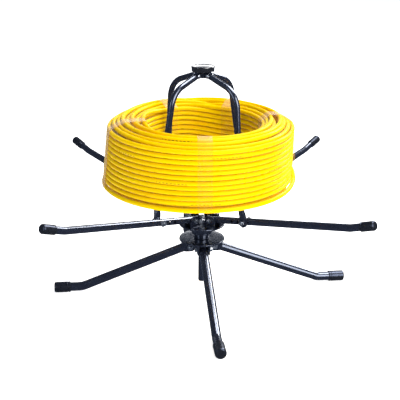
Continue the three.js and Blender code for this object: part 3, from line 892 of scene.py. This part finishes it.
def add_spindle():
    disc_bottom = LOWER_DISC_Z - DISC_THICK / 2
    disc_top = UPPER_DISC_Z + DISC_THICK / 2
    neck = SPINDLE_RADIUS - 1 * MM - GAP
    rings = [
        fastener_ring(SPINDLE_BOTTOM, neck - 0.4 * MM),
        fastener_ring(SPINDLE_BOTTOM + 0.4 * MM, neck),
        fastener_ring(disc_bottom, neck),
        fastener_ring(disc_bottom, SPINDLE_RADIUS),
        fastener_ring(disc_top, SPINDLE_RADIUS),
    ]
    rings += thread_rings(SPINDLE_RADIUS, disc_top, SPINDLE_TOP, 1.25 * MM)
    add_piece("spindle_pin", skin("spindle_pin", rings), "base", "bearing_steel", ["spindle"])
    nut = nut_mesh("spindle_locknut", SPINDLE_NUT_ACROSS, SPINDLE_RADIUS + GAP, SPINDLE_NUT_HEIGHT)
    place = Matrix.Translation((0, 0, disc_top + GAP))
    add_piece("spindle_locknut", nut, "base", "zinc_plate", ["spindle_nut"], place)


def add_bearing():
    bore = SPINDLE_RADIUS + GAP
    floor = LOWER_DISC_Z + DISC_THICK / 2 + GAP
    section = [(bore, floor), (BOSS_RADIUS, floor), (BOSS_RADIUS, BOSS_TOP), (bore, BOSS_TOP)]
    race = rounded(section, 0.8 * MM)
    add_piece("race_lower", turned("race_lower", race), "base", "black_powder_coat", ["bearing_lower_race"])

    low = BOSS_TOP + GAP
    high = low + 2 * BALL_RADIUS
    middle = (low + high) / 2
    half_width, half_height = 2.2 * MM, 0.9 * MM
    near, far = BALL_PITCH_RADIUS - half_width, BALL_PITCH_RADIUS + half_width
    under, over = middle - half_height, middle + half_height
    section = [(near, under), (far, under), (far, over), (near, over)]
    retainer = turned("retainer", rounded(section, 0.3 * MM))
    sphere = [(0, -BALL_RADIUS)]
    latitudes = [math.pi * (i / 12 - 0.5) for i in range(1, 12)]
    sphere += [(BALL_RADIUS * math.cos(t), BALL_RADIUS * math.sin(t)) for t in latitudes]
    ball = turned("ball", [*sphere, (0, BALL_RADIUS)], 24)
    parts = [(retainer, Matrix.Identity(4))]
    parts += [(ball, Matrix.Translation((x, y, middle))) for x, y in circle(BALL_PITCH_RADIUS, BALL_COUNT)]
    add_piece("ball_ring", joined("ball_ring", parts), "base", "bearing_steel", ["ball_cage"])

    ceiling, roof = high + GAP, UPPER_DISC_Z - DISC_THICK / 2 - GAP
    inner = CUP_RADIUS - CUP_WALL
    cup = [(bore, ceiling, 0.3 * MM), (inner, ceiling, 0.6 * MM), (inner, CUP_BOTTOM)]
    cup += [(CUP_RADIUS, CUP_BOTTOM), (CUP_RADIUS, roof), (bore, roof, 0.3 * MM)]
    cup = turned("race_cup", rounded(cup, 1.0 * MM), 80)
    add_piece("race_cup", cup, "turntable", "black_powder_coat", ["bearing_upper_cup"])


# ---------------------------------------------------------------- legs and arms
def sleeve_mesh(name, radius, length, end, bore, floor=None):
    """A sleeve cap along +X: its mouth at x = -length, closed and rounded past x = 0. Flat at z = floor."""
    lip = 0.5 * MM  # depth of the groove round the mouth
    profile = [(0, GAP), (bore, GAP), (bore, -length), (radius - 0.8 * MM, -length)]
    for size, step in ((radius, 0.8), (radius, 3), (radius - lip, 3.6), (radius - lip, 4.6), (radius, 5.2)):
        profile.append((size, step * MM - length))
    dome = 3.2 * MM
    for cosine, sine in quarter(8):
        profile.append((radius - dome * (1 - cosine), end - dome * (1 - sine)))
    profile.append((0, end))
    rings = [[(x, r * a, r * b) for a, b in circle(1, 48)] for r, x in profile]
    if floor is not None:
        rings = [[(x, y, max(z, floor)) for x, y, z in ring] for ring in rings]
    return skin(name, rings)


def add_legs():
    slope = math.atan2(LEG_CORNER.z - LEG_PIVOT.z, LEG_CORNER.x - LEG_PIVOT.x)
    start = LEG_PIVOT - along(slope, LEG_TAIL)
    leg = tube("leg_tube", bent_path(start, LEG_CORNER, LEG_TIP, LEG_BEND, 12), LEG_RADIUS, LEG_WALL)
    leg = cut(leg, [cross_pin(LEG_BOLT["radius"] + GAP, LEG_PIVOT.x, LEG_PIVOT.z)])
    foot = sleeve_mesh("foot_sleeve", FOOT_RADIUS, FOOT_LENGTH, FOOT_END, LEG_RADIUS + GAP, -LEG_TIP.z)
    seat = LEG_RADIUS + GAP + PLATE_THICK + GAP
    meshes = fastening("leg", LEG_BOLT, 2 * seat, 1.4 * MM)
    for k, turn in enumerate(STATIONS, 1):
        place = station(LEG_AZIMUTH + turn)
        pivot = station(LEG_AZIMUTH + turn, LEG_PIVOT)
        add_piece(f"leg_{k}_tube", leg, f"leg_{k}", "black_powder_coat", [f"leg_tube_{k}"], place)
        tip = place @ Matrix.Translation(LEG_TIP)
        add_piece(f"leg_{k}_foot", foot, f"leg_{k}", "black_plastic", [f"foot_cap_{k}"], tip)
        places = (pivot @ sideways(-seat, 1), pivot @ sideways(seat, 1))
        add_fastening("leg", k, "base", meshes, places)


def arm_cutters():
    """The pivot hole, the slot that the post bolt rides in, and the row of spare holes beside it."""
    cutters = [cross_pin(ARM_BOLT["radius"] + GAP, ARM_PIVOT.x, ARM_PIVOT.z)]
    outline = []
    for x, start in ((SLOT_OUTWARD, -90), (-SLOT_INWARD, 90)):
        for i in range(13):
            turn = math.radians(start + 15 * i)
            outline.append((x + SLOT_HALF * math.cos(turn), SLOT_HALF * math.sin(turn)))
    slot = skin("slot", [[(x, y, z) for x, z in outline] for y in (-CUT_REACH, CUT_REACH)])
    slot.transform(Matrix.Translation(POST_FOOT) @ Matrix.Rotation(-ARM_SLOPE, 4, "Y"))
    cutters.append(slot)
    for i in range(HOLE_COUNT):
        at = POST_FOOT - along(ARM_SLOPE, HOLE_FIRST + HOLE_PITCH * i)
        cutters.append(cross_pin(HOLE_RADIUS, at.x, at.z))
    return cutters


def add_arms():
    corner = ARM_PIVOT + along(ARM_SLOPE, (ARM_BEND_R - ARM_PIVOT.x) / math.cos(ARM_SLOPE))
    start = ARM_PIVOT - along(ARM_SLOPE, ARM_TAIL)
    end = corner + along(ARM_TIP_SLOPE, ARM_TIP_LENGTH)
    path = bent_path(start, corner, end, ARM_BEND, 8)
    arm = cut(tube("arm_tube", path, ARM_RADIUS, ARM_WALL), arm_cutters())
    cap = sleeve_mesh("arm_sleeve", ARM_CAP_RADIUS, ARM_CAP_LENGTH, ARM_CAP_END, ARM_RADIUS + GAP)
    tilt = Matrix.Rotation(-ARM_TIP_SLOPE, 4, "Y")
    seat = ARM_RADIUS + GAP + PLATE_THICK + GAP
    meshes = fastening("arm", ARM_BOLT, 2 * seat, 1.6 * MM)
    for k, turn in enumerate(STATIONS, 1):
        place = station(ARM_AZIMUTH + turn)
        pivot = station(ARM_AZIMUTH + turn, ARM_PIVOT)
        add_piece(f"arm_{k}_tube", arm, f"arm_{k}", "black_powder_coat", [f"arm_tube_{k}"], place)
        tip = place @ Matrix.Translation(end) @ tilt
        add_piece(f"arm_{k}_cap", cap, f"arm_{k}", "black_plastic", [f"arm_cap_{k}"], tip)
        places = (pivot @ sideways(seat, -1), pivot @ sideways(-seat, -1))
        add_fastening("arm", k, "turntable", meshes, places)


# ---------------------------------------------------------------- cage of posts
def flattened_ring(point, side, up, half_side, half_up, power, sides=40):
    """A section between a circle (power 2) and a rounded rectangle (a larger power)."""
    ring = []
    for x, y in circle(1, sides):
        reach = (abs(x) ** power + abs(y) ** power) ** (1 / power)
        ring.append(point + side * (half_side * x / reach) + up * (half_up * y / reach))
    return ring


def post_mesh():
    """A bent round post, pressed flat beside the arm at its foot and forked over the hub's lug on top."""
    corner_z = TOP_PIVOT.z - math.tan(POST_TOP_SLOPE) * (POST_CORNER_R - POST_TOP_R)
    corner = Vector((POST_CORNER_R, 0, corner_z))
    foot = Vector((POST_FOOT_R, 0, POST_FOOT.z))
    up_post = (corner - foot).normalized()
    end = TOP_PIVOT + Vector((-math.cos(POST_TOP_SLOPE), 0, math.sin(POST_TOP_SLOPE))) * POST_TAIL
    side_end = foot + up_post * POST_PATH_START
    path = bent_path(side_end, corner, end, POST_BEND, 16)
    straight_top = path[1].z
    for point in path:
        rise = min(max((point.z - side_end.z) / (straight_top - side_end.z), 0), 1)
        point.y = -POST_SIDE * (1 - rise)
    rings = []
    flat_y = -(ARM_RADIUS + GAP) - POST_FOOT_THICK / 2
    side, up = Vector((0, 1, 0)), up_post.cross(Vector((0, 1, 0)))
    for cosine, sine in quarter(8):  # the rounded end below the bolt
        at = foot + up_post * (-POST_FOOT_BELOW + POST_FOOT_HALF * (1 - cosine))
        half = max(POST_FOOT_HALF * sine, 0.3 * MM)
        rings.append(flattened_ring(at + side * flat_y, side, up, POST_FOOT_THICK / 2, half, 5))
    for i in range(11):  # the pressed plate opens out into the round rod
        share = ease(i / 10)
        at = foot + up_post * blend(POST_PRESSED_END, POST_ROUND_START, i / 10)
        half_side = blend(POST_FOOT_THICK / 2, POST_RADIUS, share)
        half_up = blend(POST_FOOT_HALF, POST_RADIUS, share)
        lateral = blend(flat_y, -POST_SIDE, share)
        rings.append(flattened_ring(at + side * lateral, side, up, half_side, half_up, blend(5, 2, share)))
    for point, across, upward in stations_of(path):
        rings.append([point + across * x + upward * y for x, y in circle(POST_RADIUS, 40)])
    half = LUG_THICK / 2 + GAP
    back, front = -FORK_INWARD, FORK_OUTWARD
    corners = ((back, -FORK_HALF), (front, -FORK_HALF), (front, FORK_HALF), (back, FORK_HALF))
    fork = skin("fork", [[(x, y, z) for x, z in corners] for y in (-half, half)])
    fork.transform(Matrix.Translation(TOP_PIVOT) @ Matrix.Rotation(POST_TOP_SLOPE, 4, "Y"))
    eye = cross_pin(POST_BOLT["radius"] + GAP, POST_FOOT.x, POST_FOOT.z)
    pin = cross_pin(RIVET_RADIUS + GAP, TOP_PIVOT.x, TOP_PIVOT.z)
    return cut(skin("post", rings), [fork, eye, pin])


def rivet_mesh():
    """A rivet through the fork and the lug, with a domed head on each side."""
    seat = POST_RADIUS + GAP
    half = []
    for cosine, sine in quarter(5):
        half.append((RIVET_HEAD * sine, seat + RIVET_HEAD_THICK * (0.25 + 0.75 * cosine)))
    half += [(RIVET_HEAD, seat), (RIVET_RADIUS, seat)]
    return turned("rivet", half + [(r, -y) for r, y in half[::-1]], 32)


def add_posts():
    post, rivet = post_mesh(), rivet_mesh()
    outer_seat = ARM_RADIUS + GAP + POST_FOOT_THICK + GAP
    meshes = fastening("post", POST_BOLT, ARM_RADIUS + GAP + outer_seat, 1.6 * MM)
    for k, turn in enumerate(STATIONS, 1):
        azimuth = ARM_AZIMUTH + turn
        foot = station(azimuth, POST_FOOT)
        body = f"cage_post_{k}"
        add_piece(f"post_{k}_rod", post, body, "black_powder_coat", [f"post_{k}"], station(azimuth))
        places = (foot @ sideways(ARM_RADIUS + GAP, -1), foot @ sideways(-outer_seat, -1))
        add_fastening("post", k, body, meshes, places)
        place = station(azimuth, TOP_PIVOT) @ sideways(0, 1)
        add_piece(f"post_{k}_rivet", rivet, "cage_top", "zinc_plate", [f"top_rivet_{k}"], place)


def add_top():
    z = TOP_PIVOT.z
    low, high = z + HUB_PLATE_BOTTOM, z + HUB_PLATE_TOP
    section = [(0, low, 0), (HUB_PLATE_RADIUS, low), (HUB_PLATE_RADIUS, high), (0, high, 0)]
    plate = turned("plate", rounded(section, 0.5 * MM))
    foot, shoulder, root = z - LUG_TIP, z - LUG_TIP + 0.8 * MM, high - 1 * MM
    profile = [(0, foot), (HUB_CORE - 0.8 * MM, foot), (HUB_CORE, shoulder), (HUB_CORE, root), (0, root)]
    core = turned("core", profile, 40)
    outline = [(2 * MM, HUB_PLATE_BOTTOM + 1 * MM), (2 * MM, -LUG_TIP)]
    for i in range(9):
        turn = math.radians(-90 + 90 * i / 8)
        outline.append((POST_TOP_R + LUG_TIP * math.cos(turn), LUG_TIP * math.sin(turn)))
    outline.append((HUB_PLATE_RADIUS - 1 * MM, HUB_PLATE_BOTTOM + 1 * MM))
    lug = side_plate("lug", outline, -LUG_THICK / 2, LUG_THICK, 0.35 * MM)
    lug = cut(lug, [cross_pin(RIVET_RADIUS + GAP, POST_TOP_R, 0)])
    parts = [(plate, Matrix.Identity(4)), (core, Matrix.Identity(4))]
    parts += [(lug, station(ARM_AZIMUTH + turn, (0, 0, z))) for turn in STATIONS]
    add_piece("cage_hub", joined("cage_hub", parts), "cage_top", "black_powder_coat", ["top_hub"])

    under, skirt, roof = z + HUB_PLATE_TOP + GAP, z + CAP_SKIRT_BOTTOM, z + CAP_TOP
    inner, outer, flange = CAP_RADIUS - CAP_WALL, CAP_RADIUS - 0.7 * MM, CAP_RADIUS
    brim = roof - 2.6 * MM
    profile = [(0, under), (inner - 0.7 * MM, under), (inner - 0.7 * MM, skirt)]
    profile += [(outer - 0.3 * MM, skirt), (outer, skirt + 0.3 * MM)]
    profile += [(outer, brim), (flange - 0.2 * MM, brim), (flange, brim + 0.25 * MM)]
    for cosine, sine in quarter(6):
        profile.append((flange - 1.4 * MM * (1 - cosine), roof - 1.4 * MM * (1 - sine)))
    profile += [(flange - 2.2 * MM, roof - 0.1 * MM), (flange - 2.6 * MM, roof - 0.6 * MM)]
    crown = roof - 0.1 * MM
    profile += [(CAP_RADIUS * 0.5, roof - 0.3 * MM), (CAP_RADIUS * 0.2, crown), (0, crown)]
    add_piece("cage_cap", turned("cage_cap", profile, 96), "cage_top", "gloss_black_plastic", ["top_cap"])


# ---------------------------------------------------------------- floor and light
def add_floor():
    """A plain white floor. It is bright enough to leave only a soft shadow."""
    paint = Paint("floor_white", Roughness=0.9, Specular_IOR_Level=0.1)
    tone = paint.mix(paint.noise(3, 2), (0.93, 0.93, 0.93, 1), (0.95, 0.95, 0.95, 1))
    material = paint.finish(Base_Color=tone, Emission_Color=(1, 1, 1, 1), Emission_Strength=0.8)
    mesh = bpy.data.meshes.new("floor")
    half = 30
    corners = [(-half, -half, 0), (half, -half, 0), (half, half, 0), (-half, half, 0)]
    mesh.from_pydata(corners, [], [(0, 1, 2, 3)])
    mesh.materials.append(material)
    floor = bpy.data.objects.new("floor", mesh)
    floor.location.z = -0.05 * MM
    floor.visible_glossy = False
    bpy.context.scene.collection.objects.link(floor)


def add_world():
    """White behind the object, and a dim cool room for what its surfaces reflect."""
    world = bpy.data.worlds.new("studio")
    bpy.context.scene.world = world
    world.use_nodes = True
    tree = world.node_tree
    room = tree.nodes["Background"]
    room.inputs["Color"].default_value = (0.62, 0.74, 1.0, 1)
    room.inputs["Strength"].default_value = 0.14
    white = tree.nodes.new("ShaderNodeBackground")
    white.inputs["Color"].default_value = (1, 1, 1, 1)
    mix = tree.nodes.new("ShaderNodeMixShader")
    tree.links.new(tree.nodes.new("ShaderNodeLightPath").outputs["Is Camera Ray"], mix.inputs[0])
    tree.links.new(room.outputs[0], mix.inputs[1])
    tree.links.new(white.outputs[0], mix.inputs[2])
    tree.links.new(mix.outputs[0], tree.nodes["World Output"].inputs["Surface"])


def add_softbox(name, place, target, width, height, power, colour=(1, 1, 1)):
    light = bpy.data.lights.new(name, "AREA")
    light.shape = "RECTANGLE"
    light.size, light.size_y = width, height
    light.energy = power
    light.color = colour
    lamp = bpy.data.objects.new(name, light)
    lamp.location = place
    lamp.rotation_mode = "QUATERNION"
    lamp.rotation_quaternion = (Vector(target) - Vector(place)).to_track_quat("-Z", "Y")
    lamp.visible_camera = False
    bpy.context.scene.collection.objects.link(lamp)


def add_lights():
    add_softbox("overhead", (0.7, 0.2, 2.1), (0, 0, 0.2), 1.3, 0.9, 46)
    add_softbox("back_right", (1.8, 1.5, 1.7), (0, 0, 0.2), 1.2, 0.9, 56)
    add_softbox("front_right", (1.25, -1.9, 1.25), (0, 0, 0.2), 1.5, 1.5, 57)
    add_softbox("front_left", (-2.0, -1.3, 1.0), (0, 0, 0.2), 0.5, 1.2, 12, (0.8, 0.9, 1))
    add_softbox("back_low", (0.6, 5.0, 1.3), (0, 0, 0.4), 7.0, 0.5, 26)


# ---------------------------------------------------------------- the scene
add_camera()
cable_points = add_cable()
for number, azimuth in enumerate(TAPE_AZIMUTHS, 1):
    add_tape(number, azimuth, cable_points)
add_hubs()
add_column()
add_spindle()
add_bearing()
add_legs()
add_arms()
add_posts()
add_top()
add_floor()
add_world()
add_lights()
bpy.context.scene.view_settings.view_transform = "Standard"
